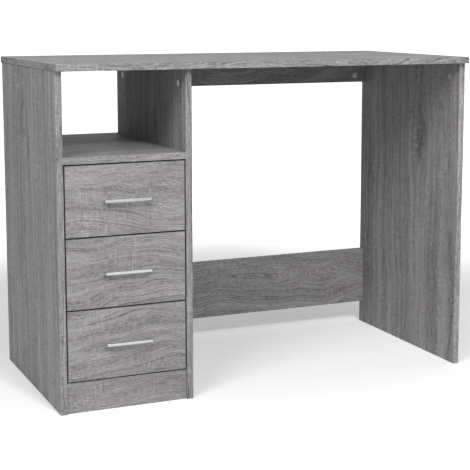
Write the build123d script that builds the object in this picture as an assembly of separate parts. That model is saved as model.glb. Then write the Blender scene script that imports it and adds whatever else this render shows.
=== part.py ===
from build123d import *
import os

# Writing desk with a three-drawer pedestal at the left, an open compartment above the drawers,
# and a knee space closed at the back by two rails.
#
# Millimetres. +X is to the right and +Z is up. The front of the desk faces -Y.
# The origin is on the floor, at the middle of the desk's width and of its overall depth, handles included.
# In what follows, "front" and "back" are the low and high ends of Y.

# ---------------------------------------------------------------- overall sizes
desk_width = 1020.0
top_depth = 500.0
desk_height = 760.0

# ---------------------------------------------------------------- boards
board = 15.0                    # side panels, shelf, plinth, rails and drawer fronts
top_thickness = 15.0
drawer_board = 12.0             # sides and backs of the drawer boxes
hardboard = 3.0                 # pedestal back and drawer bottoms
edge_ease = 0.5                 # flat taken off every board edge

# ---------------------------------------------------------------- carcass layout
top_side_overhang = 2.0
top_front_overhang = 15.0
pedestal_clear_width = 278.0
compartment_height = 183.0
plinth_height = 69.0
plinth_setback = 4.5
rail_setback = 5.0              # from the side panels' back edges
upper_rail_height = 69.0
lower_rail_height = 150.0
lower_rail_clearance = 60.0     # from the floor
back_panel_clearance = 50.0     # from the floor
back_panel_margin = 1.0         # the pedestal back stops this far inside the panels' outer faces

# ---------------------------------------------------------------- drawers
reveal = 3.0                    # gap round every drawer front
drawer_names = ("lower", "middle", "upper")
drawer_side_lift = 18.0         # from the front's bottom edge to the sides' bottom edge
drawer_headroom = 37.0          # from the sides' top edge to the front's top edge
drawer_back_clearance = 67.0    # between a closed drawer and the pedestal's back
groove_lift = 8.0               # from the sides' bottom edge to the bottom groove
groove_depth = 6.0
groove_slack = 0.2

# ---------------------------------------------------------------- handles
handle_hole_spacing = 96.0
handle_leg_width = 10.0
handle_bar_depth = 7.0
handle_height = 6.0
handle_reach = 20.0
handle_corner_radius = 3.0
handle_inner_radius = 2.0
handle_edge_radius = 0.8
handle_screw_radius = 2.0
handle_screw_bite = 10.0        # length of the screw inside the handle's leg
handle_screw_head_radius = 4.0
handle_screw_head_height = 2.5
handle_screw_thread_gap = 0.05
handle_screw_board_gap = 0.25

# ---------------------------------------------------------------- roller runners
side_space = 12.5               # between the cabinet side and the drawer side
steel = 1.0
runner_inset = 2.0              # from the drawer front's back face to the cabinet runner
roller_radius = 8.5
roller_running_gap = 0.3        # between a roller and the steel it rolls on
roller_side_gap = 0.5           # between a roller and the steel that carries it
roller_end_gap = 3.5            # between a roller and its runner's end
roller_ease = 0.6
flange_side_gap = 3.0           # between a flange's edge and the far side of the runner space
running_flange_lift = 1.0       # between the cabinet runner's top and the drawer runner's flange
runner_floor_lift = 2.0         # from the cabinet runner's bottom to the drawer runner's bottom
foot_flange_setback = 2.0       # the flange under the drawer side stops this far short of its inner face
axle_radius = 2.5
axle_clearance = 0.05
axle_head_radius = 4.2
axle_head_thickness = 0.8
axle_head_gap = 0.4             # between a roller and its axle's head
axle_far_gap = 2.0              # between an axle's head and the steel on the other side

# ---------------------------------------------------------------- small fixings
fit_gap = 0.1                   # radial gap round dowels, bolts, cams, screws and nails in their holes
cam_radius = 7.4
cam_floor = 3.0                 # wood left under a cam
cam_distance = 34.0             # from a board's end to its cam's centre
cam_recess_width = 1.6
cam_recess_length = 8.0
cam_recess_depth = 2.0
bolt_thread_radius = 3.0
bolt_thread_length = 11.0
bolt_guide_radius = 3.5
bolt_guide_length = 24.0
bolt_neck_radius = 2.0
bolt_head_radius = 2.7
bolt_head_length = 3.5
bolt_slot_gap = 0.2
dowel_radius = 4.0
dowel_edge_depth = 20.0
dowel_face_depth = 10.0
dowel_ease = 1.0
screw_radius = 1.75
screw_length = 10.0
screw_head_radius = 3.4
screw_head_height = 1.3
nail_radius = 0.8
nail_length = 16.0
nail_head_radius = 1.8
nail_head_thickness = 0.5

# ---------------------------------------------------------------- where the fixings go
hole_pitch = 32.0               # between a cam and the dowel beside it
panel_cam_inset = 45.0          # from a side panel's front or back edge
shelf_cam_inset = 60.0
plinth_cam_lift = 20.0
rail_cam_lift = 17.0
lower_rail_cam_inset = 35.0
rail_dowel_offset = 200.0       # from the upper rail's middle to each dowel into the top
drawer_dowel_inset = 18.0       # from the drawer sides' bottom and top edges
runner_screw_inset = 45.0
drawer_screw_lift = 1.0         # from the drawer runner's lower flange to its screws' heads
nail_end_inset = 30.0
nails_per_side = 6
nails_along_shelf = 3
accessory_hole_radius = 2.5
accessory_hole_depth = 11.0
accessory_hole_inset = 11.0     # from the right panel's front edge
accessory_hole_height = 118.0   # of the lower hole

# ---------------------------------------------------------------- planes worked out from the sizes
overall_depth = top_depth + max(0.0, handle_reach - top_front_overhang)
back_y = overall_depth / 2
top_front_y = back_y - top_depth
front_y = top_front_y + top_front_overhang
panel_back_y = back_y - hardboard
under_top = desk_height - top_thickness

left_x = -desk_width / 2 + top_side_overhang
pedestal_left_x = left_x + board
pedestal_right_x = pedestal_left_x + pedestal_clear_width
middle_x = pedestal_right_x + board
right_x = desk_width / 2 - top_side_overhang
knee_right_x = right_x - board

shelf_top = under_top - compartment_height
shelf_bottom = shelf_top - board
rail_back_y = panel_back_y - rail_setback
rail_front_y = rail_back_y - board
rail_middle_y = rail_front_y + board / 2

front_height = (shelf_bottom - plinth_height - reveal * (len(drawer_names) + 1)) / len(drawer_names)
drawer_front_y = front_y
drawer_side_height = front_height - drawer_side_lift - drawer_headroom
drawer_box_y = drawer_front_y + board
drawer_end_y = panel_back_y - drawer_back_clearance
drawer_length = drawer_end_y - drawer_box_y
pedestal_middle_x = (pedestal_left_x + pedestal_right_x) / 2

roller_width = (side_space - 2 * steel - roller_side_gap - axle_head_gap - axle_head_thickness
                - axle_far_gap)
roller_end_offset = roller_end_gap + roller_radius           # from the runner's end to the roller's axle
flange_cutback = 2 * roller_end_offset                       # the channel is open above the front roller
flange_width = side_space - flange_side_gap
foot_flange_width = steel + drawer_board - foot_flange_setback
channel_height = 2 * (steel + roller_running_gap + roller_radius)
running_flange_z = channel_height + running_flange_lift      # above the cabinet runner's bottom
drawer_floor_z = runner_floor_lift + steel                   # drawer side's bottom edge, from the same line
drawer_screw_z = drawer_floor_z + drawer_screw_lift + screw_head_radius

X = Vector(1, 0, 0)
Y = Vector(0, 1, 0)
Z = Vector(0, 0, 1)


# ---------------------------------------------------------------- shapes
def block(x0, x1, y0, y1, z0, z1):
    """A plain box between two corners."""
    middle = ((x0 + x1) / 2, (y0 + y1) / 2, (z0 + z1) / 2)
    return Pos(*middle) * Box(abs(x1 - x0), abs(y1 - y0), abs(z1 - z0))


def board_between(x0, x1, y0, y1, z0, z1):
    """A board with the sharp edge taken off all round."""
    return chamfer(block(x0, x1, y0, y1, z0, z1).edges(), edge_ease)


def rod(start, direction, radius, length):
    """A cylinder that begins at a point and runs along a direction."""
    return Plane(origin=start, z_dir=direction) * Cylinder(
        radius, length, align=(Align.CENTER, Align.CENTER, Align.MIN))


def depth_block(wall_x, side, d0, d1, y0, y1, z0, z1):
    """A box given by its distances d0 and d1 from a cabinet wall; side is -1 at the left, 1 at the right."""
    return block(wall_x - side * d0, wall_x - side * d1, y0, y1, z0, z1)


# ---------------------------------------------------------------- knock-down fixings
class Fixings:
    """Cams, bolts and dowels of one rigid group, which cut their own holes in the boards they join."""

    def __init__(self, boards):
        self.boards = boards
        self.discs = []
        self.bolts = []
        self.dowels = []

    def cam(self, host, mate, seam, into, face, thickness):
        """Join host's end to mate. seam is on the bolt's axis where the boards meet, into points from mate
        into host, and face is the outward normal of the face that the cam is pressed into."""
        depth = thickness - cam_floor
        mouth = seam + into * cam_distance + face * (thickness / 2)
        pocket = rod(mouth, -face, cam_radius + fit_gap, depth)
        guide = rod(seam, into, bolt_guide_radius + fit_gap, cam_distance)
        thread = rod(seam, -into, bolt_thread_radius + fit_gap, bolt_thread_length)
        self.boards[host] = self.boards[host] - pocket - guide
        self.boards[mate] = self.boards[mate] - thread

        across = face.cross(into)
        disc = rod(mouth, -face, cam_radius, depth)
        slot_half = bolt_head_radius + bolt_slot_gap
        slot_plane = Plane(origin=mouth - face * (thickness / 2), x_dir=into, z_dir=face)
        slot_length = cam_radius + bolt_head_length
        slot = slot_plane * Pos(bolt_head_length - slot_length / 2, 0, 0) * Box(
            slot_length, 2 * slot_half, 2 * slot_half)
        disc = disc - slot
        for arm in (into, across):
            arm_plane = Plane(origin=mouth - face * (cam_recess_depth / 2), x_dir=arm, z_dir=face)
            disc = disc - arm_plane * Box(cam_recess_length, cam_recess_width, cam_recess_depth)
        self.discs.append(disc)

        head_start = cam_distance - bolt_head_length / 2
        bolt = rod(seam, -into, bolt_thread_radius, bolt_thread_length)
        bolt = bolt + rod(seam, into, bolt_guide_radius, bolt_guide_length)
        bolt = bolt + rod(seam, into, bolt_neck_radius, head_start)
        bolt = bolt + rod(seam + into * head_start, into, bolt_head_radius, bolt_head_length)
        self.bolts.append(bolt)

    def dowel(self, host, mate, seam, into):
        """Peg host's end to mate's face; into points from mate into host."""
        self.boards[host] = self.boards[host] - rod(seam, into, dowel_radius + fit_gap, dowel_edge_depth)
        self.boards[mate] = self.boards[mate] - rod(seam, -into, dowel_radius + fit_gap, dowel_face_depth)
        peg = rod(seam - into * dowel_face_depth, into, dowel_radius, dowel_edge_depth + dowel_face_depth)
        self.dowels.append(chamfer(peg.edges().filter_by(GeomType.CIRCLE), dowel_ease))


def pan_screw(seat, direction):
    """A small pan-head screw whose head sits on seat and whose shank runs along direction."""
    return rod(seat, direction, screw_radius, screw_length) + rod(
        seat, -direction, screw_head_radius, screw_head_height)


def screw_hole(seat, direction):
    """The hole for a pan-head screw, from its seat."""
    return rod(seat, direction, screw_radius + fit_gap, screw_length)


# ---------------------------------------------------------------- carcass
def make_carcass():
    """The desk's boards with every hole in them, and the fixings that hold them together."""
    boards = {
        "top_board": board_between(
            -desk_width / 2, desk_width / 2, top_front_y, back_y, under_top, desk_height),
        "left_side_panel": board_between(
            left_x, pedestal_left_x, front_y, panel_back_y, 0, under_top),
        "middle_side_panel": board_between(
            pedestal_right_x, middle_x, front_y, panel_back_y, 0, under_top),
        "right_side_panel": board_between(
            knee_right_x, right_x, front_y, panel_back_y, 0, under_top),
        "pedestal_shelf": board_between(
            pedestal_left_x, pedestal_right_x, front_y, panel_back_y, shelf_bottom, shelf_top),
        "plinth_board": board_between(
            pedestal_left_x, pedestal_right_x, front_y + plinth_setback,
            front_y + plinth_setback + board, 0, plinth_height),
        "upper_back_rail": board_between(
            middle_x, knee_right_x, rail_front_y, rail_back_y, under_top - upper_rail_height, under_top),
        "lower_back_rail": board_between(
            middle_x, knee_right_x, rail_front_y, rail_back_y,
            lower_rail_clearance, lower_rail_clearance + lower_rail_height),
    }
    fixings = Fixings(boards)
    join_top(fixings)
    join_shelf(fixings)
    join_plinth(fixings)
    join_rails(fixings)
    for step in (0, 1):
        mouth = Vector(knee_right_x, front_y + accessory_hole_inset, accessory_hole_height + step * hole_pitch)
        boards["right_side_panel"] = boards["right_side_panel"] - rod(
            mouth, X, accessory_hole_radius, accessory_hole_depth)
    return boards, fixings


def join_top(fixings):
    """Side panels to the top: cams near the front and back, dowels beside them."""
    front_cam_y = front_y + panel_cam_inset
    back_cam_y = panel_back_y - panel_cam_inset
    joints = (
        ("left_side_panel", left_x + board / 2, X, (front_cam_y, back_cam_y),
         (front_cam_y + hole_pitch, back_cam_y - hole_pitch)),
        ("middle_side_panel", pedestal_right_x + board / 2, -X, (front_cam_y, back_cam_y),
         (front_cam_y + hole_pitch, back_cam_y - hole_pitch)),
        ("right_side_panel", knee_right_x + board / 2, -X, (front_cam_y,),
         (front_cam_y + hole_pitch, back_cam_y)),
    )
    for panel, x, face, cam_places, dowel_places in joints:
        for y in cam_places:
            fixings.cam(panel, "top_board", Vector(x, y, under_top), -Z, face, board)
        for y in dowel_places:
            fixings.dowel(panel, "top_board", Vector(x, y, under_top), -Z)


def join_shelf(fixings):
    """Shelf to the two pedestal panels, with the cams on its underside."""
    z = shelf_bottom + board / 2
    for x, mate, into in ((pedestal_left_x, "left_side_panel", X), (pedestal_right_x, "middle_side_panel", -X)):
        for y, inward in ((front_y + shelf_cam_inset, 1), (panel_back_y - shelf_cam_inset, -1)):
            fixings.cam("pedestal_shelf", mate, Vector(x, y, z), into, -Z, board)
            fixings.dowel("pedestal_shelf", mate, Vector(x, y + inward * hole_pitch, z), into)


def join_plinth(fixings):
    """Plinth to the two pedestal panels, with the cams on its back face."""
    y = front_y + plinth_setback + board / 2
    for x, mate, into in ((pedestal_left_x, "left_side_panel", X), (pedestal_right_x, "middle_side_panel", -X)):
        fixings.cam("plinth_board", mate, Vector(x, y, plinth_cam_lift), into, Y, board)
        fixings.dowel("plinth_board", mate, Vector(x, y, plinth_cam_lift + hole_pitch), into)


def join_rails(fixings):
    """Back rails to the middle and right panels, and the upper rail to the top."""
    upper_z = under_top - upper_rail_height + rail_cam_lift
    lower_z = lower_rail_clearance
    lower_cams = (lower_z + lower_rail_cam_inset, lower_z + lower_rail_height - lower_rail_cam_inset)
    for x, mate, into in ((middle_x, "middle_side_panel", X), (knee_right_x, "right_side_panel", -X)):
        fixings.cam("upper_back_rail", mate, Vector(x, rail_middle_y, upper_z), into, -Y, board)
        fixings.dowel("upper_back_rail", mate, Vector(x, rail_middle_y, upper_z + hole_pitch), into)
        for z in lower_cams:
            fixings.cam("lower_back_rail", mate, Vector(x, rail_middle_y, z), into, Y, board)
        fixings.dowel(
            "lower_back_rail", mate, Vector(x, rail_middle_y, lower_z + lower_rail_height / 2), into)
    knee_middle_x = (middle_x + knee_right_x) / 2
    for offset in (-rail_dowel_offset, rail_dowel_offset):
        fixings.dowel("upper_back_rail", "top_board", Vector(knee_middle_x + offset, rail_middle_y, under_top), -Z)


def add_pedestal_back(boards):
    """The hardboard back of the pedestal and the nails that hold it; returns the nails."""
    x0 = left_x + back_panel_margin
    x1 = middle_x - back_panel_margin
    z0 = back_panel_clearance
    z1 = shelf_top
    boards["pedestal_back_panel"] = block(x0, x1, panel_back_y, back_y, z0, z1)
    places = []
    for row in range(nails_per_side):
        z = z0 + nail_end_inset + row * (shelf_bottom - z0 - 2 * nail_end_inset) / (nails_per_side - 1)
        places.append((left_x + board / 2, z, "left_side_panel"))
        places.append((middle_x - board / 2, z, "middle_side_panel"))
    for column in range(nails_along_shelf):
        x = pedestal_left_x + (column + 1) * pedestal_clear_width / (nails_along_shelf + 1)
        places.append((x, shelf_bottom + board / 2, "pedestal_shelf"))
    nails = []
    for x, z, host in places:
        outside = Vector(x, back_y, z)
        shank = rod(outside, -Y, nail_radius, nail_length)
        head = rod(outside, -Y, nail_head_radius, nail_head_thickness)
        hole = rod(outside, -Y, nail_radius + fit_gap, nail_length)
        sink = rod(outside, -Y, nail_head_radius + fit_gap, nail_head_thickness)
        boards["pedestal_back_panel"] = boards["pedestal_back_panel"] - hole - sink
        boards[host] = boards[host] - hole
        nails.append(shank + head)
    return nails


# ---------------------------------------------------------------- runners and rollers
def runner_line(front_z):
    """Height of the cabinet runner's bottom for a drawer whose front starts at front_z."""
    return front_z + drawer_side_lift - drawer_floor_z


def screw_places(start_y):
    """Y of the three screws of a runner that starts at start_y."""
    last = start_y + drawer_length - runner_screw_inset
    first = start_y + runner_screw_inset
    return (first, (first + last) / 2, last)


def cabinet_runner(wall_x, side, z):
    """The steel channel on the cabinet side, with its riveted axle, its roller and its screws."""
    y0 = drawer_box_y + runner_inset
    y1 = y0 + drawer_length
    channel = depth_block(wall_x, side, 0, steel, y0, y1, z, z + channel_height)
    channel = channel + depth_block(wall_x, side, 0, flange_width, y0, y1, z, z + steel)
    channel = channel + depth_block(
        wall_x, side, 0, flange_width, y0 + flange_cutback, y1,
        z + channel_height - steel, z + channel_height)
    inward = X * -side
    axle_z = z + running_flange_z - roller_running_gap - roller_radius
    base = Vector(wall_x, y0 + roller_end_offset, axle_z)
    channel = channel - rod(base, inward, axle_radius, steel)
    roller_start = steel + roller_side_gap
    roller = make_roller(base + inward * roller_start, inward)
    axle = make_axle(base, inward, roller_start + roller_width + axle_head_gap)
    screws = []
    for y in screw_places(y0):
        seat = Vector(wall_x, y, z + channel_height / 2) + inward * steel
        channel = channel - screw_hole(seat, -inward)
        screws.append(pan_screw(seat, -inward))
    return channel, axle, roller, screws


def drawer_runner(wall_x, side, z):
    """The steel angle under the drawer side, with its riveted axle, its roller and its screws."""
    y0 = drawer_box_y
    y1 = y0 + drawer_length
    near = side_space - steel
    bottom = z + runner_floor_lift
    flange = z + running_flange_z
    angle = depth_block(wall_x, side, near, side_space, y0, y1, bottom, flange + steel)
    angle = angle + depth_block(
        wall_x, side, near, near + foot_flange_width, y0, y1, bottom, bottom + steel)
    angle = angle + depth_block(
        wall_x, side, side_space - flange_width, side_space, y0, y1, flange, flange + steel)
    outward = X * side
    axle_z = z + steel + roller_running_gap + roller_radius
    base = Vector(wall_x - side * side_space, y1 - roller_end_offset, axle_z)
    angle = angle - rod(base, outward, axle_radius, steel)
    roller_start = steel + roller_side_gap
    roller = make_roller(base + outward * roller_start, outward)
    axle = make_axle(base, outward, roller_start + roller_width + axle_head_gap)
    screws = []
    for y in screw_places(y0):
        seat = Vector(wall_x - side * near, y, z + drawer_screw_z)
        angle = angle - screw_hole(seat, -outward)
        screws.append(pan_screw(seat, -outward))
    return angle, axle, roller, screws


def make_roller(start, direction):
    """A plastic roller that begins at start and runs along its axle."""
    wheel = chamfer(
        rod(start, direction, roller_radius, roller_width).edges().filter_by(GeomType.CIRCLE), roller_ease)
    return wheel - rod(start, direction, axle_radius + axle_clearance, roller_width)


def make_axle(start, direction, head_at):
    """A rivet axle with a head that keeps the roller on."""
    return rod(start, direction, axle_radius, head_at + axle_head_thickness) + rod(
        start + direction * head_at, direction, axle_head_radius, axle_head_thickness)


# ---------------------------------------------------------------- drawers
def make_handle(middle):
    """A bridge handle; middle is the point of the drawer front behind the handle's centre."""
    length = handle_hole_spacing + handle_leg_width
    gap = length - 2 * handle_leg_width
    outer = Rectangle(length, handle_reach, align=(Align.CENTER, Align.MAX))
    outer = fillet(outer.vertices().group_by(Axis.Y)[0], handle_corner_radius)
    inner = Rectangle(gap, handle_reach - handle_bar_depth, align=(Align.CENTER, Align.MAX))
    inner = fillet(inner.vertices().group_by(Axis.Y)[0], handle_inner_radius)
    bridge = extrude(outer - inner, handle_height / 2, both=True)
    standing = [edge for edge in bridge.edges() if edge.center().Y < -handle_edge_radius]
    outline = ShapeList(standing).filter_by(Plane.XY)
    return Pos(*middle) * fillet(outline, handle_edge_radius)


def handle_screw(start, head_y):
    """A machine screw from inside the drawer into a handle's leg."""
    shank = rod(start, Y, handle_screw_radius, head_y - start.Y)
    head = rod(Vector(start.X, head_y, start.Z), Y, handle_screw_head_radius, handle_screw_head_height)
    return shank + head


def make_drawer(front_z):
    """Every piece of one drawer, by its short name, and the pair of rollers by their sides."""
    side_z = front_z + drawer_side_lift
    outer_left = pedestal_left_x + side_space
    outer_right = pedestal_right_x - side_space
    inner_left = outer_left + drawer_board
    inner_right = outer_right - drawer_board
    groove_z = side_z + groove_lift
    groove_height = hardboard + groove_slack
    floor_z = groove_z + groove_slack / 2
    back_y0 = drawer_end_y - drawer_board

    boards = {
        "front": board_between(
            pedestal_left_x + reveal, pedestal_right_x - reveal, drawer_front_y, drawer_box_y,
            front_z, front_z + front_height),
        "left_side": board_between(
            outer_left, inner_left, drawer_box_y, drawer_end_y, side_z, side_z + drawer_side_height),
        "right_side": board_between(
            inner_right, outer_right, drawer_box_y, drawer_end_y, side_z, side_z + drawer_side_height),
        "back": board_between(
            inner_left, inner_right, back_y0, drawer_end_y, floor_z + hardboard, side_z + drawer_side_height),
    }
    groove = block(
        inner_left - groove_depth, inner_right + groove_depth, drawer_box_y - groove_depth, drawer_end_y,
        groove_z, groove_z + groove_height)
    for name in ("front", "left_side", "right_side"):
        boards[name] = boards[name] - groove
    boards["bottom"] = block(
        inner_left - groove_depth + groove_slack, inner_right + groove_depth - groove_slack,
        drawer_box_y - groove_depth + groove_slack, drawer_end_y - edge_ease, floor_z, floor_z + hardboard)

    fixings = Fixings(boards)
    low = side_z + drawer_dowel_inset
    high = side_z + drawer_side_height - drawer_dowel_inset
    for name, outer_x, inward in (("left_side", outer_left, X), ("right_side", outer_right, -X)):
        x = outer_x + inward.X * drawer_board / 2
        seam = Vector(x, drawer_box_y, side_z + drawer_side_height / 2)
        fixings.cam(name, "front", seam, Y, inward, drawer_board)
        inner_x = outer_x + inward.X * drawer_board
        for z in (low, high):
            fixings.dowel(name, "front", Vector(x, drawer_box_y, z), Y)
            fixings.dowel("back", name, Vector(inner_x, drawer_end_y - drawer_board / 2, z), inward)

    runners = []
    rollers = {}
    screws = []
    z = runner_line(front_z)
    for side_name, wall_x, side in (("left", pedestal_left_x, -1), ("right", pedestal_right_x, 1)):
        angle, axle, roller, runner_screws = drawer_runner(wall_x, side, z)
        runners += [angle, axle]
        rollers[side_name] = roller
        screws += runner_screws
        for y in screw_places(drawer_box_y):
            seat = Vector(wall_x - side * (side_space - steel), y, z + drawer_screw_z)
            boards[side_name + "_side"] = boards[side_name + "_side"] - screw_hole(seat, X * -side)
    third = (inner_right - inner_left) / 3
    for x in (inner_left + third, inner_right - third):
        seat = Vector(x, drawer_end_y - drawer_board / 2, floor_z)
        hole = screw_hole(seat, Z)
        boards["bottom"] = boards["bottom"] - hole
        boards["back"] = boards["back"] - hole
        screws.append(pan_screw(seat, Z))

    handle_z = front_z + front_height / 2
    handle = make_handle((pedestal_middle_x, drawer_front_y, handle_z))
    handle_screws = []
    for x in (pedestal_middle_x - handle_hole_spacing / 2, pedestal_middle_x + handle_hole_spacing / 2):
        start = Vector(x, drawer_front_y - handle_screw_bite, handle_z)
        handle = handle - rod(start, Y, handle_screw_radius + handle_screw_thread_gap, handle_screw_bite)
        hole = rod(start, Y, handle_screw_radius + handle_screw_board_gap, handle_screw_bite + board)
        boards["front"] = boards["front"] - hole
        handle_screws.append(handle_screw(start, drawer_box_y))

    pieces = dict(boards)
    pieces["handle"] = handle
    pieces["handle_screws"] = handle_screws
    pieces["runners"] = runners
    pieces["screws"] = screws
    pieces["cam_fittings"] = fixings.discs + fixings.bolts
    pieces["dowels"] = fixings.dowels
    return pieces, rollers


# ---------------------------------------------------------------- the whole desk
def make_desk():
    """Every node of the desk: a solid, or a list of separate solids."""
    boards, fixings = make_carcass()
    nails = add_pedestal_back(boards)
    nodes = {}
    channels = []
    channel_screws = []
    for index, name in enumerate(drawer_names):
        front_z = plinth_height + reveal + index * (front_height + reveal)
        z = runner_line(front_z)
        for side_name, wall_x, side, panel in (
                ("left", pedestal_left_x, -1, "left_side_panel"),
                ("right", pedestal_right_x, 1, "middle_side_panel")):
            channel, axle, roller, screws = cabinet_runner(wall_x, side, z)
            channels += [channel, axle]
            channel_screws += screws
            nodes[f"{name}_cabinet_roller_{side_name}"] = roller
            for y in screw_places(drawer_box_y + runner_inset):
                seat = Vector(wall_x - side * steel, y, z + channel_height / 2)
                boards[panel] = boards[panel] - screw_hole(seat, X * side)
        pieces, rollers = make_drawer(front_z)
        for piece_name, piece in pieces.items():
            nodes[f"{name}_drawer_{piece_name}"] = piece
        for side_name, roller in rollers.items():
            nodes[f"{name}_drawer_roller_{side_name}"] = roller
    nodes.update(boards)
    nodes["cam_discs"] = fixings.discs
    nodes["cam_bolts"] = fixings.bolts
    nodes["wooden_dowels"] = fixings.dowels
    nodes["back_panel_nails"] = nails
    nodes["cabinet_runners"] = channels
    nodes["cabinet_runner_screws"] = channel_screws
    return nodes


def write_nodes(nodes):
    """Write each node to parts/NODE.step."""
    os.makedirs("parts", exist_ok=True)
    for name, shape in nodes.items():
        pieces = shape if isinstance(shape, list) else [shape]
        solids = [solid for piece in pieces for solid in piece.solids()]
        whole = solids[0] if len(solids) == 1 else Compound(children=solids)
        export_step(whole, f"parts/{name}.step")


write_nodes(make_desk())
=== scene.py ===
"""Looks of a writing desk with a three-drawer pedestal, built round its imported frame.

Everything is in metres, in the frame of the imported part: the origin is on the floor under the middle of the
desk, +X runs to the right, +Z up, and the drawer fronts face -Y.
"""

import logging
import math
from dataclasses import dataclass, replace
from enum import Enum

import bpy
from mathutils import Matrix, Vector

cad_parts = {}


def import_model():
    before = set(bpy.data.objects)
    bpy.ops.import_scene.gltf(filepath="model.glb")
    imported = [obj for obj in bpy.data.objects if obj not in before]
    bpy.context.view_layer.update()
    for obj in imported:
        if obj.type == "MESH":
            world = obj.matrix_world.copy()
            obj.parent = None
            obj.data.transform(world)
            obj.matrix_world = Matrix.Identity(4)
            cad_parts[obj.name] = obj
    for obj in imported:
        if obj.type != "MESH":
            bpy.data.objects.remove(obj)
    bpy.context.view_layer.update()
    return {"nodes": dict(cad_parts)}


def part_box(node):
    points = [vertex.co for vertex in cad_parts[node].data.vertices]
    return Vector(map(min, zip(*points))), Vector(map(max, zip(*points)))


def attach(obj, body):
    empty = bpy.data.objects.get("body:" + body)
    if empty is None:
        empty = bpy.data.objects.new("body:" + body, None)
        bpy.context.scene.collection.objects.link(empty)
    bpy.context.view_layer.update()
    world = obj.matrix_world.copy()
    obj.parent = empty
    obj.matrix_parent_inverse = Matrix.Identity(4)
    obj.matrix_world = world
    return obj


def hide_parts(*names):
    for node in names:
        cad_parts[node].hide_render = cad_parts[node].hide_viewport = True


log = logging.getLogger("writing_desk")

MM = 0.001

Colour = tuple[float, float, float]


# ---------------------------------------------------------------- shader sheets
class Axis(Enum):
    """One of the three directions of the desk's frame, by its place in a vector."""

    X = 0
    Y = 1
    Z = 2


@dataclass(frozen=True)
class Signal:
    """A number that a shader node gives out, which takes part in ordinary arithmetic."""

    sheet: "ShaderSheet"
    socket: bpy.types.NodeSocket

    def maths(self, operation: str, *others: "Signal | float") -> "Signal":
        """Pass this number and the others through one Math node."""
        return self.sheet.maths(operation, self, *others)

    def __add__(self, other: "Signal | float") -> "Signal":
        """Sum with another number."""
        return self.maths("ADD", other)

    __radd__ = __add__

    def __sub__(self, other: "Signal | float") -> "Signal":
        """This number less another."""
        return self.maths("SUBTRACT", other)

    def __rsub__(self, other: float) -> "Signal":
        """A plain number less this one."""
        return self.sheet.maths("SUBTRACT", other, self)

    def __mul__(self, other: "Signal | float") -> "Signal":
        """Product with another number."""
        return self.maths("MULTIPLY", other)

    __rmul__ = __mul__

    def __truediv__(self, other: "Signal | float") -> "Signal":
        """This number divided by another."""
        return self.maths("DIVIDE", other)

    def __rtruediv__(self, other: float) -> "Signal":
        """A plain number divided by this one."""
        return self.sheet.maths("DIVIDE", other, self)

    def __pow__(self, other: "Signal | float") -> "Signal":
        """This number to a power."""
        return self.maths("POWER", other)

    def __abs__(self) -> "Signal":
        """This number without its sign."""
        return self.maths("ABSOLUTE")

    def above(self, level: float) -> "Signal":
        """1 where this number is above a level, and 0 elsewhere."""
        return self.maths("GREATER_THAN", level)

    def between(self, low: float, high: float) -> "Signal":
        """Rise smoothly from 0 to 1.

        Args:
            low: where the rise begins.
            high: where it ends; below low, the result falls instead.

        Returns:
            The smooth step.
        """
        return self.sheet.node(
            "ShaderNodeMapRange",
            {"interpolation_type": "SMOOTHSTEP"},
            {"Value": self, "From Min": low, "From Max": high},
        )


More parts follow.
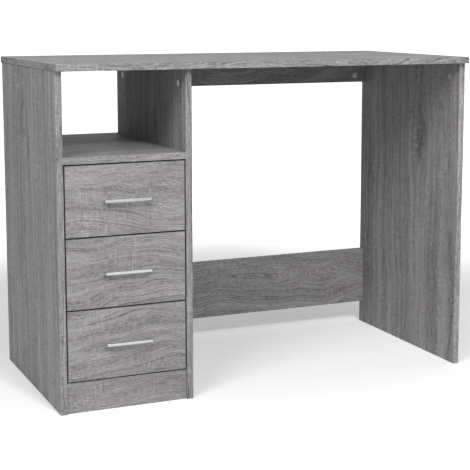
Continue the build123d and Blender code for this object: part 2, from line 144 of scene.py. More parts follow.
class ShaderSheet:
    """The nodes of one material, written as expressions."""

    def __init__(self, name: str) -> None:
        """Start a material with an empty node tree.

        Args:
            name: the material's name.
        """
        self.material = bpy.data.materials.new(name)
        self.material.use_nodes = True
        self.tree = self.material.node_tree
        self.tree.nodes.clear()
        self.output = self.tree.nodes.new("ShaderNodeOutputMaterial")

    def node(
        self,
        kind: str,
        settings: dict[str, object] | None = None,
        inputs: "dict[str | int, Signal | float | tuple[float, ...]] | None" = None,
        output: str | int = 0,
    ) -> Signal:
        """Add a node, set it up and feed it.

        Args:
            kind: the node's type.
            settings: its own settings, set before its sockets are fed.
            inputs: the value or link of each socket, by name or place.
            output: the socket that is read, by name or place.

        Returns:
            What the node gives out at that socket.
        """
        made = self.tree.nodes.new(kind)
        for key, value in (settings or {}).items():
            setattr(made, key, value)
        for key, value in (inputs or {}).items():
            self.feed(made.inputs[key], value)
        return Signal(self, made.outputs[output])

    def feed(self, socket: bpy.types.NodeSocket, value: "Signal | float | tuple[float, ...]") -> None:
        """Link a signal to a socket, or set the socket to a plain value.

        Args:
            socket: the socket.
            value: what it gets.
        """
        if isinstance(value, Signal):
            self.tree.links.new(value.socket, socket)
        else:
            socket.default_value = value

    def maths(self, operation: str, *values: "Signal | float") -> Signal:
        """Add one Math node over these values."""
        return self.node("ShaderNodeMath", {"operation": operation}, dict(enumerate(values)))

    def place(self) -> tuple[Signal, Signal, Signal]:
        """The point being shaded, as its three object coordinates in metres."""
        return self.split(self.node("ShaderNodeTexCoord", output="Object"))

    def facing(self) -> tuple[Signal, Signal, Signal]:
        """The surface's own direction, as three numbers without their signs."""
        x, y, z = self.split(self.node("ShaderNodeTexCoord", output="Normal"))
        return abs(x), abs(y), abs(z)

    def split(self, vector: Signal) -> tuple[Signal, Signal, Signal]:
        """Take a vector apart.

        Args:
            vector: the vector.

        Returns:
            Its three parts.
        """
        made = self.tree.nodes.new("ShaderNodeSeparateXYZ")
        self.feed(made.inputs[0], vector)
        return tuple(Signal(self, socket) for socket in made.outputs)

    def join(self, x: "Signal | float", y: "Signal | float", z: "Signal | float") -> Signal:
        """A vector from its three parts."""
        return self.node("ShaderNodeCombineXYZ", inputs={0: x, 1: y, 2: z})

    def cloud(self, at: Signal, detail: float, roughness: float = 0.5) -> Signal:
        """Smooth noise over a vector.

        Args:
            at: the vector; the noise changes about once in each unit of it.
            detail: how many finer layers the noise has.
            roughness: how strong each finer layer is.

        Returns:
            A number about 0, mostly between -0.3 and 0.3.
        """
        return (
            self.node(
                "ShaderNodeTexNoise",
                {"noise_dimensions": "3D"},
                {"Vector": at, "Scale": 1.0, "Detail": detail, "Roughness": roughness},
            )
            - 0.5
        )

    def rings(self, at: Signal, detail: float) -> Signal:
        """Smooth noise along a single number, for lines that follow it.

        Args:
            at: the number.
            detail: how many finer layers the noise has.

        Returns:
            A number about 0.
        """
        return (
            self.node(
                "ShaderNodeTexNoise",
                {"noise_dimensions": "1D"},
                {"W": at, "Scale": 1.0, "Detail": detail, "Roughness": 0.55},
            )
            - 0.5
        )

    def speckle(self, pitch: float, detail: float = 2.0, roughness: float = 0.5) -> Signal:
        """Smooth noise over the surface, the same in every direction.

        Args:
            pitch: how often it changes in a metre.
            detail: how many finer layers the noise has.
            roughness: how strong each finer layer is.

        Returns:
            A number about 0.
        """
        x, y, z = self.place()
        return self.cloud(self.join(x * pitch, y * pitch, z * pitch), detail, roughness)

    def blend(
        self, factor: "Signal | float", first: "Signal | tuple", second: "Signal | tuple", how: str = "MIX"
    ) -> Signal:
        """Mix two colours.

        Args:
            factor: the share of the second colour.
            first: the colour at 0.
            second: the colour at 1.
            how: the Mix node's blend type.

        Returns:
            The mixed colour.
        """
        return self.node(
            "ShaderNodeMix",
            {"data_type": "RGBA", "blend_type": how, "clamp_factor": True},
            {0: factor, 6: first, 7: second},
            output=2,
        )

    def ramp(self, factor: Signal, stops: "tuple[tuple[float, Colour], ...]") -> Signal:
        """A colour ramp over a number.

        Args:
            factor: the number.
            stops: each stop's place and colour, lowest first.

        Returns:
            The colour.
        """
        made = self.tree.nodes.new("ShaderNodeValToRGB")
        elements = made.color_ramp.elements
        while len(elements) < len(stops):
            elements.new(1.0)
        for element, (place, colour) in zip(elements, stops):
            element.position = place
            element.color = (*colour, 1.0)
        self.feed(made.inputs[0], factor)
        return Signal(self, made.outputs[0])

    def bump(self, height: Signal, relief: float) -> Signal:
        """A normal from a height between 0 and 1, with the relief between them in metres."""
        return self.node("ShaderNodeBump", inputs={"Height": height, "Distance": relief, "Strength": 1.0})

    def finish(self, **sockets: "Signal | float | tuple[float, ...]") -> bpy.types.Material:
        """Close the sheet with a Principled shader.

        Args:
            sockets: the shader's sockets, by name with underscores for spaces.

        Returns:
            The finished material.
        """
        shader = self.tree.nodes.new("ShaderNodeBsdfPrincipled")
        for name, value in sockets.items():
            self.feed(shader.inputs[name.replace("_", " ")], value)
        self.tree.links.new(shader.outputs[0], self.output.inputs["Surface"])
        return self.material


# ---------------------------------------------------------------- finishes
@dataclass(frozen=True)
class Layer:
    """One layer of noise in the grain, by how often it changes in a metre each way."""

    along: float
    across: float
    through: float = 1.0
    moved: tuple[float, float, float] = (0.0, 1.0, 0.0)     # how many seeds it is moved by, each way
    detail: float = 1.0                                     # how many finer layers it has in it
    roughness: float = 0.5                                  # how strong each finer layer is
    weight: float = 1.0                                     # how much of it is taken
    rise: tuple[float, float] = (0.0, 1.0)                  # where a smooth step over it begins and ends


# Each stop is a place on the tone, from dark to light, and the colour there.
OAK_TONES = (
    (0.10, (0.085, 0.080, 0.082)),
    (0.34, (0.205, 0.196, 0.200)),
    (0.52, (0.318, 0.306, 0.312)),
    (0.76, (0.450, 0.437, 0.443)),
)
# Bare chipboard, painted darker than it is as the shade in the holes and grooves where it shows.
CHIP_TONES_WITH_PAINTED_SHADE = ((0.25, (0.045, 0.036, 0.028)), (0.75, (0.13, 0.105, 0.08)))
GLUE_COLOUR = (0.12, 0.115, 0.118, 1.0)

# What bends the grain, in metres by weight.
SWAY = Layer(1.7, 3.0, 2.0, moved=(1.0, 0.0, 1.0), weight=0.13)
ARCH = Layer(5.5, 10.0, weight=0.060)
RIPPLE = Layer(26.0, 50.0, detail=2.0, weight=0.006)

# What the grain is made of, in shares of the tone by weight.
FIGURE = Layer(3.6, 20.0, detail=4.0, roughness=0.65, weight=0.46)
STRIPE = Layer(0.9, 36.0, moved=(1.0, 0.0, 1.0), detail=3.0, roughness=0.6, weight=0.70)
LINE_PATCH = Layer(4.0, 9.0, moved=(0.0, 0.0, 1.0), weight=0.15, rise=(-0.04, 0.14))
LONG_FIBRE = Layer(20.0, 380.0, moved=(1.0, 0.0, 0.0), detail=2.0, roughness=0.6, weight=0.60)
SHORT_FIBRE = Layer(95.0, 700.0, weight=0.62)
COARSE_SAW = Layer(190.0, 22.0, weight=0.16, rise=(0.06, 0.22))
FINE_SAW = Layer(480.0, 34.0, moved=(0.0, 0.0, 1.0), weight=0.07)
SAW_PATCH = Layer(8.0, 14.0, 3.0, moved=(1.0, 0.0, 0.0), rise=(0.03, 0.18))
FINE_SAW_PATCH = replace(SAW_PATCH, weight=0.34, rise=(-0.05, 0.16))
PORE = Layer(75.0, 1100.0, moved=(1.0, 0.0, 0.0), weight=0.07, rise=(0.10, 0.22))
KNOT_STRAY = Layer(60.0, 110.0, 0.0, moved=(0.0, 0.0, 1.0), detail=2.0, weight=1.6)


@dataclass(frozen=True)
class Spot:
    """The point being shaded, in a board's own directions, in metres from the board's middle."""

    along: Signal
    across: Signal
    through: Signal

    @property
    def sheet(self) -> ShaderSheet:
        """The material's sheet."""
        return self.along.sheet

    def noise(self, layer: Layer, seed: float) -> Signal:
        """Smooth noise at this point.

        Args:
            layer: the layer of the grain.
            seed: what tells one board's noise from another's.

        Returns:
            A number about 0, before the layer's weight.
        """
        parts = (self.along, self.across, self.through)
        pitches = (layer.along, layer.across, layer.through)
        at = (part * pitch + seeds * seed for part, pitch, seeds in zip(parts, pitches, layer.moved))
        return self.sheet.cloud(self.sheet.join(*at), layer.detail, layer.roughness)

    def step(self, layer: Layer, seed: float) -> Signal:
        """A smooth step from 0 to 1 over a layer's noise."""
        return self.noise(layer, seed).between(*layer.rise)


@dataclass(frozen=True)
class Knot:
    """A knot in the printed grain: where it is along and across the board, and how big."""

    along: float
    across: float
    radius: float
    slimness: float = 2.4                   # how many times longer than wide it is
    ease: float = 0.30                      # more of it parts the grain less sharply
    ring_pitch: float = 4.0
    ring_shade: float = 0.45
    core_shade: float = 0.13
    halo_shade: float = 0.05
    halo: tuple[float, float] = (6.0, 0.4)  # the reach where the darker grain round it begins, and is full

    def reach(self, spot: Spot) -> Signal:
        """Squared distance from the knot, which is 1 at its rim.

        Args:
            spot: the point being shaded.

        Returns:
            The squared distance.
        """
        long = (spot.along - self.along) / (self.radius * self.slimness)
        wide = (spot.across - self.across) / self.radius
        return long * long + wide * wide

    def parted(self, spot: Spot) -> Spot:
        """Part the grain on both sides of the knot.

        Args:
            spot: the point being shaded.

        Returns:
            The point whose grain shows there.
        """
        pull = 1.0 / (self.reach(spot) + self.ease)
        return replace(spot, across=spot.across - (spot.across - self.across) * pull)

    def shade(self, spot: Spot, seed: float) -> Signal:
        """How much darker the knot and the grain beside it are.

        Args:
            spot: the point being shaded.
            seed: the board's seed.

        Returns:
            What the knot takes from the tone.
        """
        reach = self.reach(spot) + spot.noise(KNOT_STRAY, seed) * KNOT_STRAY.weight
        ring = spot.sheet.rings(reach * self.ring_pitch + seed, 1.0)
        core = reach.between(1.0, 0.0) * (self.core_shade + ring * self.ring_shade)
        return core + reach.between(*self.halo) * self.halo_shade


@dataclass(frozen=True)
class GreyOak:
    """Grey sawn-oak melamine on one board, with its edge bands.

    The grain is worked out in the board's own directions: along the grain, across it, and through the
    board. On an edge band it runs along the band.
    """

    name: str
    grain: Axis
    thin: Axis
    node: str
    seed: float
    heart: float = 0.0                      # where the trunk's heart passes, across the grain
    heart_along: float = 0.0                # where the arches of the grain close, along it
    taper: float = 0.11                     # how fast the rings close towards there
    tone: float = 1.0                       # how light the board is: partly its own tone, partly painted light and shade set board by board
    contrast: float = 1.0                   # how strong its figure is
    band_tone_with_painted_light: float = 1.05                 # how light the edge bands are beside the faces: partly their own tone, partly painted light and shade set board by board
    striped: float = 0.0                    # how far the figure is drawn out into long stripes, from 0 to 1
    knots: tuple[Knot, ...] = ()
    stripe_hold: float = 0.72               # how much of the bends full stripes take away
    stripe_loss: float = 0.14               # how much of the figure's weight they take
    ring_pitch: float = 80.0                # how often the broad rings change in a metre of the trunk
    ring_weight: float = 0.36
    line_pitch: float = 260.0               # the same for the thin dark lines between them
    line_weight: float = 0.03
    line_rise: tuple[float, float] = (0.02, 0.16)
    saw_lean: float = 0.03                  # how far the saw's marks lean, as a slope
    relief: float = 0.16 * MM
    shine: float = 0.15
    band_thickness: float = 0.9 * MM
    glue_widths: tuple[float, float] = (0.35 * MM, 0.05 * MM)   # half widths: faded out, and full
    glue_weight: float = 0.35
    skin: float = 0.25 * MM                 # deeper than this inside its outer faces, the raw core shows

    def make(self) -> bpy.types.Material:
        """Build the material.

        Returns:
            The material.
        """
        sheet = ShaderSheet(self.name)
        place, facing = sheet.place(), sheet.facing()
        wide = next(axis for axis in Axis if axis not in (self.grain, self.thin))
        low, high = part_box(self.node)
        middle = (low + high) / 2
        half = (high - low) / 2
        centred = {axis: place[axis.value] - middle[axis.value] for axis in Axis}
        depths = {axis: half[axis.value] - abs(centred[axis]) for axis in Axis}
        end = facing[self.grain.value].above(0.5)
        side = facing[wide.value].above(0.5)
        run, width, depth = centred[self.grain], centred[wide], centred[self.thin]
        spot = Spot(
            along=run + end * (width - run),
            across=width + (end + side) * (depth - width),
            through=depth + side * (width - depth) + end * (run - depth),
        )
        parted = spot
        for knot in self.knots:
            parted = knot.parted(parted)

        figure, line, fibre = self.grain_lines(parted)
        saw = self.saw_marks(spot)
        pore = parted.step(PORE, self.seed)
        tone = 0.5 + (figure + line + fibre + saw - pore * PORE.weight) * self.contrast
        for knot in self.knots:
            tone = tone - knot.shade(spot, self.seed)
        # The bare core shows in the holes, painted darker as their shade.
        core_with_painted_shade, bored = self.chipboard(sheet, depths)
        glue = self.glue_line(depths, wide) * self.glue_weight
        # Painted light and shade: the board's tone and its bands' tone lighten or darken it to follow how
        # light falls on it.
        level = (1.0 + (end + side) * (self.band_tone_with_painted_light - 1.0)) * self.tone
        printed = sheet.blend(glue, sheet.ramp(tone, OAK_TONES), GLUE_COLOUR)
        shade = sheet.blend(1.0, printed, sheet.join(level, level, level), "MULTIPLY")
        return sheet.finish(
            Base_Color=sheet.blend(bored, shade, core_with_painted_shade),
            Roughness=0.50 - fibre * 0.3 + pore * 0.18,
            Normal=sheet.bump(0.6 + fibre * 0.9 + saw * 0.9 - pore * 0.5, self.relief),
            Specular_IOR_Level=self.shine,
        )

    def grain_lines(self, spot: Spot) -> tuple[Signal, Signal, Signal]:
        """The broad figure, the ring lines and the fine fibres.

        Args:
            spot: the point being shaded.

        Returns:
            Three shares of the tone, each about 0.
        """
        seed, rings = self.seed, spot.sheet.rings
        loose = 1.0 - self.stripe_hold * self.striped
        bent = spot.across
        for layer, share in ((SWAY, loose), (ARCH, loose), (RIPPLE, 1.0)):
            bent = bent + spot.noise(layer, seed) * (layer.weight * share)
        bent = bent - self.heart
        lean = (spot.along - self.heart_along) * self.taper
        trunk = (bent * bent + lean * lean) ** 0.5
        swept = replace(spot, across=bent)
        figure = swept.noise(FIGURE, seed) * (FIGURE.weight - self.striped * self.stripe_loss)
        stripe = swept.noise(STRIPE, seed) * (STRIPE.weight * self.striped)
        broad = rings(trunk * self.ring_pitch + seed, 5.0) * self.ring_weight
        thin = rings(trunk * self.line_pitch, 2.0).between(*self.line_rise)
        dark = self.line_weight + spot.step(LINE_PATCH, seed) * LINE_PATCH.weight
        long, short = (swept.noise(layer, seed) * layer.weight for layer in (LONG_FIBRE, SHORT_FIBRE))
        return figure + stripe, broad - thin * dark, long + short

    def saw_marks(self, spot: Spot) -> Signal:
        """Marks of the saw across the grain, in patches.

        Args:
            spot: the point being shaded.

        Returns:
            What the marks add to the tone.
        """
        seed = self.seed
        leant = replace(spot, along=spot.along + spot.across * self.saw_lean)
        coarse = leant.step(COARSE_SAW, seed) * spot.step(SAW_PATCH, seed) * COARSE_SAW.weight
        share = FINE_SAW.weight + spot.step(FINE_SAW_PATCH, seed) * FINE_SAW_PATCH.weight
        return coarse + leant.noise(FINE_SAW, seed) * share

    def glue_line(self, depths: dict[Axis, Signal], wide: Axis) -> Signal:
        """The fine glue line where the edge band meets the board's face.

        Args:
            depths: how far the point lies inside the board's outer faces.
            wide: the board's direction across the grain.

        Returns:
            1 along the line, and 0 away from it.
        """
        nearest = depths[self.grain].maths("MINIMUM", depths[wide])
        return abs(nearest - self.band_thickness).between(*self.glue_widths)

    def chipboard(self, sheet: ShaderSheet, depths: dict[Axis, Signal]) -> tuple[Signal, Signal]:
        """The bare core of the board, which shows wherever it is bored or grooved, painted darker than bare
        chipboard as the shade in those holes.

        Args:
            sheet: the material's sheet.
            depths: how far the point lies inside the board's outer faces.

        Returns:
            The core's colour with its painted shade, and 1 where the core shows.
        """
        colour = sheet.ramp(sheet.speckle(700.0, 3.0) + 0.5, CHIP_TONES_WITH_PAINTED_SHADE)
        shallowest = depths[Axis.X].maths("MINIMUM", depths[Axis.Y]).maths("MINIMUM", depths[Axis.Z])
        return colour, shallowest.above(self.skin)


def shaded(colour: Colour, share: float) -> Colour:
    """A colour made darker or lighter by a share, and no lighter than white."""
    return tuple(min(1.0, part * share) for part in colour)


@dataclass(frozen=True)
class BrushedMetal:
    """Metal brushed along one direction."""

    name: str
    brushed: Axis
    colour: Colour
    roughness: float
    metallic: float = 1.0
    hair_pitch: float = 2600.0              # how often the brushing changes in a metre, across it
    hair_length_pitch: float = 55.0         # and along it
    relief: float = 0.03 * MM

    def make(self) -> bpy.types.Material:
        """Build the material.

        Returns:
            The material.
        """
        sheet = ShaderSheet(self.name)
        pitches = [self.hair_pitch] * 3
        pitches[self.brushed.value] = self.hair_length_pitch
        hairs = sheet.cloud(sheet.join(*(part * pitch for part, pitch in zip(sheet.place(), pitches))), 2.0)
        smudge = sheet.speckle(45.0)
        return sheet.finish(
            Base_Color=sheet.ramp(
                hairs * 0.8 + smudge * 0.4 + 0.5,
                ((0.25, shaded(self.colour, 0.84)), (0.75, shaded(self.colour, 1.08))),
            ),
            Metallic=self.metallic,
            Roughness=self.roughness + hairs * 0.16 + smudge * 0.08,
            Normal=sheet.bump(hairs + 0.5, self.relief),
        )


@dataclass(frozen=True)
class Speckled:
    """A plain surface with a fine mottle and a slight texture, such as powder coat, nylon or melamine."""

    name: str
    colour: Colour
    roughness: float
    mottle: float = 0.10                    # how far the colour strays, as a share
    grain_pitch: float = 900.0              # how often the fine grains change in a metre
    patch_pitch: float = 22.0               # and the broad patches
    relief: float = 0.05 * MM

    def make(self) -> bpy.types.Material:
        """Build the material.

        Returns:
            The material.
        """
        sheet = ShaderSheet(self.name)
        grains = sheet.speckle(self.grain_pitch, 3.0)
        patches = sheet.speckle(self.patch_pitch, 3.0)
        dark, light = shaded(self.colour, 1.0 - self.mottle), shaded(self.colour, 1.0 + self.mottle)
        return sheet.finish(
            Base_Color=sheet.ramp(grains * 0.5 + patches * 0.6 + 0.5, ((0.2, dark), (0.8, light))),
            Roughness=self.roughness + patches * 0.12 + grains * 0.08,
            Normal=sheet.bump(grains + 0.5, self.relief),
        )


@dataclass(frozen=True)
class Hardboard:
    """Thin hardboard: smooth brown fibre with darker flecks."""

    name: str
    colour: Colour = (0.28, 0.17, 0.095)
    relief: float = 0.12 * MM

    def make(self) -> bpy.types.Material:
        """Build the material.

        Returns:
            The material.
        """
        sheet = ShaderSheet(self.name)
        fibres = sheet.speckle(420.0, 4.0, 0.65)
        felt = sheet.speckle(60.0, 3.0)
        fleck = sheet.speckle(900.0, 1.0).between(0.14, 0.24)
        tone = fibres * 0.7 + felt * 0.6 + 0.5 - fleck * 0.3
        return sheet.finish(
            Base_Color=sheet.ramp(
                tone, ((0.15, shaded(self.colour, 0.62)), (0.85, shaded(self.colour, 1.35)))
            ),
            Roughness=0.62 + fibres * 0.2,
            Normal=sheet.bump(fibres + 0.5, self.relief),
        )


@dataclass(frozen=True)
class Beech:
    """Pale beech with the short flecks of its rays."""

    name: str
    dark: Colour = (0.42, 0.26, 0.14)
    light: Colour = (0.66, 0.47, 0.29)
    relief: float = 0.1 * MM

    def make(self) -> bpy.types.Material:
        """Build the material.

        Returns:
            The material.
        """
        sheet = ShaderSheet(self.name)
        fleck = sheet.speckle(400.0)
        wide = sheet.speckle(60.0)
        return sheet.finish(
            Base_Color=sheet.ramp(fleck * 0.6 + wide * 0.6 + 0.5, ((0.2, self.dark), (0.8, self.light))),
            Roughness=0.6 + fleck * 0.2,
            Normal=sheet.bump(fleck + 0.5, self.relief),
        )


def dress(node: bpy.types.Object, material: bpy.types.Material) -> None:
    """Give an object one material all over.

    Args:
        node: the object.
        material: its finish.
    """
    node.data.materials.clear()
    node.data.materials.append(material)
    log.info("%s in %s", node.name, material.name)


# ---------------------------------------------------------------- modelling
WELD = 0.01 * MM            # corners closer than this are one corner
DOWN = -0.5                 # a face whose normal's height is below this faces down


def deselect() -> None:
    """Leave object mode's selection empty."""
    bpy.ops.object.select_all(action="DESELECT")


def islands(node: bpy.types.Object) -> list[list[Vector]]:
    """The separate solids in a node.

    Args:
        node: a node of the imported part, whose mesh is loose triangles.

    Returns:
        The corners of each solid, in the node's order.
    """
    mesh = node.data
    key_of = [tuple(round(c / WELD) for c in vertex.co) for vertex in mesh.vertices]
    root = {key: key for key in key_of}

    def find(key: tuple[int, ...]) -> tuple[int, ...]:
        """The corner that stands for a corner's solid.

        Args:
            key: the corner.

        Returns:
            The corner that every corner of the solid leads to.
        """
        while root[key] != key:
            root[key] = root[root[key]]
            key = root[key]
        return key

    for face in mesh.polygons:
        first, *others = (key_of[index] for index in face.vertices)
        for other in others:
            root[find(other)] = find(first)
    groups: dict[tuple[int, ...], list[Vector]] = {}
    for key, vertex in zip(key_of, mesh.vertices):
        groups.setdefault(find(key), []).append(vertex.co.copy())
    return list(groups.values())


@dataclass(frozen=True)
class ScrewPlace:
    """Where one screw sits: the middle of its head's top, and the way the head faces."""

    top: Vector
    facing: Vector


def screw_places(node: bpy.types.Object) -> list[ScrewPlace]:
    """Where every screw of a node sits, from its solids: the head is the wider end.

    Args:
        node: a node of plain screws along the axes of the frame.

    Returns:
        The place of each screw, in the node's order.
    """
    places = []
    for corners in islands(node):
        low = Vector(min(c[i] for c in corners) for i in range(3))
        high = Vector(max(c[i] for c in corners) for i in range(3))
        middle, size = (low + high) / 2, high - low
        axis = max(range(3), key=lambda i: size[i])
        reach = max(size[i] for i in range(3) if i != axis) / 2
        offsets = [corner - middle for corner in corners]
        rim = [o for o in offsets if o.length_squared - o[axis] ** 2 > (0.95 * reach) ** 2]
        facing = Vector((0.0, 0.0, 0.0))
        facing[axis] = 1.0 if sum(o[axis] for o in rim) > 0 else -1.0
        places.append(ScrewPlace(middle + facing * (size[axis] / 2), facing))
    return places


@dataclass(frozen=True)
class CrossScrews:
    """Pan-head screws with a cross recess, modelled once and copied to every place in a node."""

    head_radius: float
    head_height: float
    shank_radius: float
    shank_length: float
    recess_length: float = 3.6 * MM
    recess_width: float = 0.9 * MM
    recess_depth: float = 0.8 * MM
    recess_floor: float = 0.5       # the recess's floor, as a share of its mouth
    round_share: float = 0.55       # how much of the head's height is rounded over
    tip_share: float = 0.2          # how much of the shank is its tip
    tip_width: float = 0.25         # the tip's end, as a share of the shank's width
    first_turn: float = 0.7         # how far the first screw was driven round, in radians
    next_turn: float = 1.9          # how much further each next one was

    def model(self) -> bpy.types.Object:
        """Model one screw, its head's top at the origin and facing up.

        Returns:
            The screw.
        """
        deselect()
        bpy.ops.mesh.primitive_cylinder_add(
            vertices=24,
            radius=self.head_radius,
            depth=self.head_height,
            location=(0, 0, -self.head_height / 2),
        )
        screw = bpy.context.object
        mesh = screw.data
        bpy.ops.object.mode_set(mode="EDIT")
        bpy.ops.mesh.select_all(action="DESELECT")
        bpy.ops.object.mode_set(mode="OBJECT")
        for face in mesh.polygons:
            face.select = face.normal.z < DOWN
        bpy.ops.object.mode_set(mode="EDIT")
        bpy.ops.mesh.select_mode(type="FACE")
        bpy.ops.mesh.inset(thickness=self.head_radius - self.shank_radius)
        for share in (1.0 - self.tip_share, self.tip_share):
            bpy.ops.mesh.extrude_region_move(
                TRANSFORM_OT_translate={"value": (0, 0, -self.shank_length * share)}
            )
        bpy.ops.transform.resize(value=(self.tip_width, self.tip_width, 1.0))
        bpy.ops.mesh.select_all(action="DESELECT")
        bpy.ops.mesh.select_mode(type="EDGE")
        bpy.ops.object.mode_set(mode="OBJECT")
        for edge in mesh.edges:
            edge.select = all(abs(mesh.vertices[i].co.z) < WELD for i in edge.vertices)
        bpy.ops.object.mode_set(mode="EDIT")
        bpy.ops.mesh.bevel(offset=self.head_height * self.round_share, segments=4, profile=0.5)
        bpy.ops.object.mode_set(mode="OBJECT")
        for turn in (0.0, math.pi / 2):
            self.cut_slot(screw, turn)
        return screw

    def cut_slot(self, screw: bpy.types.Object, turn: float) -> None:
        """Cut one arm of the cross, which narrows towards its floor.

        Args:
            screw: the screw.
            turn: the arm's direction about the head's axis, in radians.
        """
        deselect()
        bpy.ops.mesh.primitive_cube_add(size=1.0, location=(0, 0, 0))
        cutter = bpy.context.object
        cutter.scale = (self.recess_length, self.recess_width, 2 * self.recess_depth)
        cutter.rotation_euler = (0, 0, turn)
        bpy.ops.object.transform_apply(location=True, rotation=True, scale=True)
        bpy.ops.object.mode_set(mode="EDIT")
        bpy.ops.mesh.select_all(action="DESELECT")
        bpy.ops.object.mode_set(mode="OBJECT")
        for face in cutter.data.polygons:
            face.select = face.normal.z < DOWN
        bpy.ops.object.mode_set(mode="EDIT")
        bpy.ops.transform.resize(value=(self.recess_floor, self.recess_floor, 1.0))
        bpy.ops.object.mode_set(mode="OBJECT")
        deselect()
        screw.select_set(True)
        bpy.context.view_layer.objects.active = screw
        cut = screw.modifiers.new("cross", "BOOLEAN")
        cut.operation = "DIFFERENCE"
        cut.solver = "EXACT"
        cut.object = cutter
        bpy.ops.object.modifier_apply(modifier=cut.name)
        bpy.data.objects.remove(cutter)

    def stand_for(
        self, node: bpy.types.Object, body: str, material: bpy.types.Material
    ) -> bpy.types.Object:
        """Put a screw at every place in a node, as one piece that stands for the node.

        Args:
            node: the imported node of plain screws.
            body: the body it rides on.
            material: the finish.

        Returns:
            The piece.
        """
        copies = []
        master = self.model()
        for index, place in enumerate(screw_places(node)):
            deselect()
            copy = master.copy()
            copy.data = master.data.copy()
            bpy.context.scene.collection.objects.link(copy)
            spin = Matrix.Rotation(self.first_turn + self.next_turn * index, 3, "Z")
            copy.rotation_euler = (place.facing.to_track_quat("Z", "Y").to_matrix() @ spin).to_euler()
            copy.location = place.top
            copies.append(copy)
        bpy.data.objects.remove(master)
        deselect()
        for copy in copies:
            copy.select_set(True)
        bpy.context.view_layer.objects.active = copies[0]
        bpy.ops.object.transform_apply(location=True, rotation=True, scale=True)
        bpy.ops.object.join()
        piece = bpy.context.object
        piece.name = f"{node.name}_cross_head"
        bpy.ops.object.transform_apply(location=True, rotation=True, scale=True)
        bpy.ops.object.shade_smooth_by_angle(angle=math.radians(35))
        dress(piece, material)
        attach(piece, body)
        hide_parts(node.name)
        return piece


# ---------------------------------------------------------------- the desk
STEEL_COLOUR = (0.60, 0.61, 0.63)
STEEL_ROUGHNESS = 0.36
COAT_COLOUR = (0.80, 0.80, 0.78)
COAT_ROUGHNESS = 0.42
PAN_SCREW = CrossScrews(3.4 * MM, 1.3 * MM, 1.75 * MM, 10.0 * MM)
HANDLE_SCREW = CrossScrews(
    4.0 * MM,
    2.5 * MM,
    2.0 * MM,
    25.0 * MM,
    recess_length=4.6 * MM,
    recess_width=1.1 * MM,
    recess_depth=1.6 * MM,
)
# Each board's tone and band tone follow how light falls on it, and so hold painted light and shade: the top
# is made lighter, and the upper rail under the top darker.
BOARD_OAKS = (
    GreyOak(
        "oak_top", Axis.X, Axis.Z, "top_board", 3.1,
        heart=0.05, heart_along=-0.2, taper=0.08, tone=1.05, contrast=1.3, band_tone_with_painted_light=0.93,
    ),
    GreyOak(
        "oak_left_panel", Axis.Z, Axis.X, "left_side_panel", 7.7,
        heart=0.03, heart_along=-0.25, tone=1.06, band_tone_with_painted_light=0.88, striped=1.0,
    ),
    GreyOak(
        "oak_middle_panel", Axis.Z, Axis.X, "middle_side_panel", 12.4,
        heart=-0.04, band_tone_with_painted_light=0.86, striped=1.0,
    ),
    GreyOak(
        "oak_right_panel", Axis.Z, Axis.X, "right_side_panel", 18.9,
        heart=-0.16, band_tone_with_painted_light=1.25, striped=0.85,
        knots=(Knot(0.18, -0.075, 0.024), Knot(0.135, -0.062, 0.012)),
    ),
    GreyOak("oak_shelf", Axis.X, Axis.Z, "pedestal_shelf", 22.6, tone=0.95),
    GreyOak("oak_plinth", Axis.X, Axis.Y, "plinth_board", 27.3),
    GreyOak("oak_upper_rail", Axis.X, Axis.Y, "upper_back_rail", 31.8, tone=0.78),
    GreyOak("oak_lower_rail", Axis.X, Axis.Y, "lower_back_rail", 36.2, heart=0.03, tone=0.95),
)


@dataclass
class Carcass:
    """The fixed boards of the desk and what holds them together."""

    nodes: dict[str, bpy.types.Object]
    oaks: tuple[GreyOak, ...] = BOARD_OAKS

    def build(self) -> None:
        """Dress every fixed piece."""
        for oak in self.oaks:
            dress(self.nodes[oak.node], oak.make())
        dress(self.nodes["pedestal_back_panel"], Hardboard("hardboard_back").make())
        zinc = BrushedMetal("zinc_cam", Axis.Z, (0.95, 0.95, 0.95), 0.20, metallic=0.8).make()
        dress(self.nodes["cam_discs"], zinc)
        steel = BrushedMetal("zinc_plated_steel", Axis.X, STEEL_COLOUR, STEEL_ROUGHNESS).make()
        for name in ("cam_bolts", "back_panel_nails"):
            dress(self.nodes[name], steel)
        PAN_SCREW.stand_for(self.nodes["cabinet_runner_screws"], "carcass", steel)
        dress(self.nodes["wooden_dowels"], Beech("beech_dowel").make())
        dress(self.nodes["cabinet_runners"], Speckled("powder_coat", COAT_COLOUR, COAT_ROUGHNESS).make())


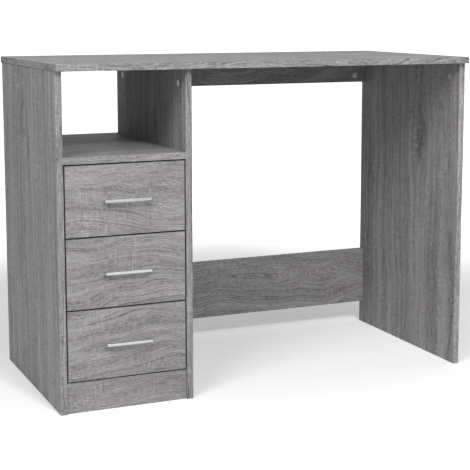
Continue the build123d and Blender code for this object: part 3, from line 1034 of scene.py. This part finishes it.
@dataclass
class Drawers:
    """The three drawers with their handles, and the rollers that carry them."""

    nodes: dict[str, bpy.types.Object]
    names: tuple[str, ...] = ("lower", "middle", "upper")
    seeds: tuple[float, ...] = (41.0, 47.5, 53.2)

    def build(self) -> None:
        """Dress every piece of every drawer, and the rollers."""
        melamine = Speckled("white_melamine", (0.80, 0.80, 0.79), 0.38, mottle=0.04).make()
        board = Speckled(
            "drawer_bottom_board", (0.66, 0.64, 0.61), 0.5, mottle=0.07, grain_pitch=420.0
        ).make()
        handle = BrushedMetal("handle_aluminium", Axis.X, (0.80, 0.80, 0.81), 0.24).make()
        zinc = BrushedMetal("zinc_drawer_cam", Axis.Z, (0.62, 0.62, 0.63), 0.40).make()
        steel = BrushedMetal("drawer_screw_steel", Axis.Y, STEEL_COLOUR, STEEL_ROUGHNESS).make()
        coat = Speckled("powder_coat_drawer", COAT_COLOUR, COAT_ROUGHNESS).make()
        beech = Beech("beech_drawer_dowel").make()
        nylon = Speckled("roller_nylon", (0.72, 0.72, 0.70), 0.35, grain_pitch=500.0).make()
        finishes = {
            "left_side": melamine,
            "right_side": melamine,
            "back": melamine,
            "bottom": board,
            "handle": handle,
            "cam_fittings": zinc,
            "dowels": beech,
            "runners": coat,
            "roller_left": nylon,
            "roller_right": nylon,
        }
        for name, seed in zip(self.names, self.seeds):
            body = f"{name}_drawer"
            # The fronts' edge bands are made darker: painted shade on the edges that lie in the gaps between
            # the drawers.
            oak = GreyOak(f"oak_{name}_front", Axis.X, Axis.Y, f"{body}_front", seed, band_tone_with_painted_light=0.75)
            dress(self.nodes[oak.node], oak.make())
            for part, finish in finishes.items():
                dress(self.nodes[f"{body}_{part}"], finish)
            for side in ("left", "right"):
                dress(self.nodes[f"{name}_cabinet_roller_{side}"], nylon)
            HANDLE_SCREW.stand_for(self.nodes[f"{body}_handle_screws"], body, steel)
            PAN_SCREW.stand_for(self.nodes[f"{body}_screws"], body, steel)


# ---------------------------------------------------------------- the studio
@dataclass(frozen=True)
class Lamp:
    """A square soft lamp in front of the desk, by the direction in which it stands."""

    name: str
    turn: float             # to the left of straight ahead, in degrees
    rise: float             # above level, in degrees
    power: float            # in watts
    size: float = 1.6       # of a side, in metres
    distance: float = 4.2   # from the point that it faces


@dataclass
class Studio:
    """The pale floor, the soft lights and the camera."""

    lamps: tuple[Lamp, ...] = (
        Lamp("front_lamp", 0.0, 36.0, 72.0, size=0.6),
        Lamp("upper_lamp", 15.0, 62.0, 16.0, size=2.2),
        Lamp("left_lamp", 50.0, 38.0, 69.0),
        Lamp("right_lamp", -95.0, 20.0, 26.0, size=2.2),
    )
    aim: tuple[float, float, float] = (0.0, 0.0, 0.4)       # what the lamps face
    surround_fill: float = 0.174                            # the surround's strength as a light
    surround_gloss: float = 0.7                             # how near to white it is in reflections
    camera_place: tuple[float, float, float] = (-1.1992, -2.7920, 0.8767)
    camera_yaw: float = -23.75                              # in degrees, and so is the pitch
    camera_pitch: float = -7.73
    lens: float = 95.9                                      # in millimetres, and so is the sensor
    sensor: float = 36.0
    shift: tuple[float, float] = (-0.0208, -0.1215)
    floor_half: float = 30.0
    floor_colours: tuple[Colour, Colour] = ((0.89, 0.89, 0.89), (0.91, 0.91, 0.91))
    floor_glow: float = 0.28                                # what the floor's look gains near the desk
    floor_fade: tuple[float, float] = (1.0, 2.3)            # from here to there it fades into white

    def build(self) -> None:
        """Set up the floor, the lights, the sky and the camera."""
        self.make_floor()
        self.make_sky()
        for lamp in self.lamps:
            self.make_lamp(lamp)
        self.make_camera()
        scene = bpy.context.scene
        scene.view_settings.view_transform = "Standard"
        scene.view_settings.look = "None"

    def make_floor(self) -> None:
        """A pale floor that looks a little brighter than it is, and runs out into the white surround."""
        deselect()
        bpy.ops.mesh.primitive_plane_add(size=2 * self.floor_half, location=(0.0, 0.0, 0.0))
        floor = bpy.context.object
        floor.name = "studio_floor"
        sheet = ShaderSheet("studio_floor")
        x, y, _ = sheet.place()
        mottle = sheet.cloud(sheet.join(x * 0.8, y * 0.8, 0.0), 2.0)
        away = (x * x + y * y) ** 0.5
        seen = sheet.node("ShaderNodeLightPath", output="Is Camera Ray")
        glow = (self.floor_glow + away.between(*self.floor_fade) * (1.0 - self.floor_glow)) * seen
        paint = sheet.finish(
            Base_Color=sheet.ramp(mottle + 0.5, tuple(zip((0.2, 0.8), self.floor_colours))),
            Roughness=0.9,
            Specular_IOR_Level=0.1,
            Emission_Color=sheet.join(glow, glow, glow),
            Emission_Strength=1.0,
        )
        dress(floor, paint)

    def make_sky(self) -> None:
        """A white surround that lights the desk only a little, and shows brighter in reflections."""
        world = bpy.data.worlds.new("studio_surround")
        world.use_nodes = True
        tree = world.node_tree
        background = tree.nodes["Background"]
        background.inputs["Color"].default_value = (1.0, 1.0, 1.0, 1.0)
        rays = tree.nodes.new("ShaderNodeLightPath")
        glossy = tree.nodes.new("ShaderNodeMath")
        glossy.operation = "MULTIPLY_ADD"
        tree.links.new(rays.outputs["Is Glossy Ray"], glossy.inputs[0])
        glossy.inputs[1].default_value = self.surround_gloss
        tree.links.new(rays.outputs["Is Camera Ray"], glossy.inputs[2])
        level = tree.nodes.new("ShaderNodeMapRange")
        tree.links.new(glossy.outputs[0], level.inputs["Value"])
        level.inputs["To Min"].default_value = self.surround_fill
        level.inputs["To Max"].default_value = 1.0
        tree.links.new(level.outputs["Result"], background.inputs["Strength"])
        bpy.context.scene.world = world

    def make_lamp(self, lamp: Lamp) -> None:
        """Hang one soft lamp that faces the desk's middle.

        Args:
            lamp: the lamp.
        """
        data = bpy.data.lights.new(lamp.name, "AREA")
        data.shape = "SQUARE"
        data.size = lamp.size
        data.energy = lamp.power
        turn, rise = math.radians(lamp.turn), math.radians(lamp.rise)
        out = Vector((-math.sin(turn) * math.cos(rise), -math.cos(turn) * math.cos(rise), math.sin(rise)))
        holder = bpy.data.objects.new(lamp.name, data)
        bpy.context.scene.collection.objects.link(holder)
        holder.location = Vector(self.aim) + out * lamp.distance
        holder.rotation_euler = (-out).to_track_quat("-Z", "Y").to_euler()

    def make_camera(self) -> None:
        """Set the scene's camera at the desk's front left."""
        data = bpy.data.cameras.new("desk_camera")
        data.sensor_width = self.sensor
        data.lens = self.lens
        data.shift_x, data.shift_y = self.shift
        camera = bpy.data.objects.new("desk_camera", data)
        bpy.context.scene.collection.objects.link(camera)
        camera.location = self.camera_place
        camera.rotation_euler = (math.radians(90.0 + self.camera_pitch), 0.0, math.radians(self.camera_yaw))
        bpy.context.scene.camera = camera


def main() -> None:
    """Build the studio and dress the desk."""
    logging.basicConfig(level=logging.INFO, format="%(name)s: %(message)s")
    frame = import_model()
    deselect()
    for assembly in (Studio(), Carcass(frame["nodes"]), Drawers(frame["nodes"])):
        assembly.build()
        log.info("%s built", type(assembly).__name__)


if __name__ == "__main__":
    main()
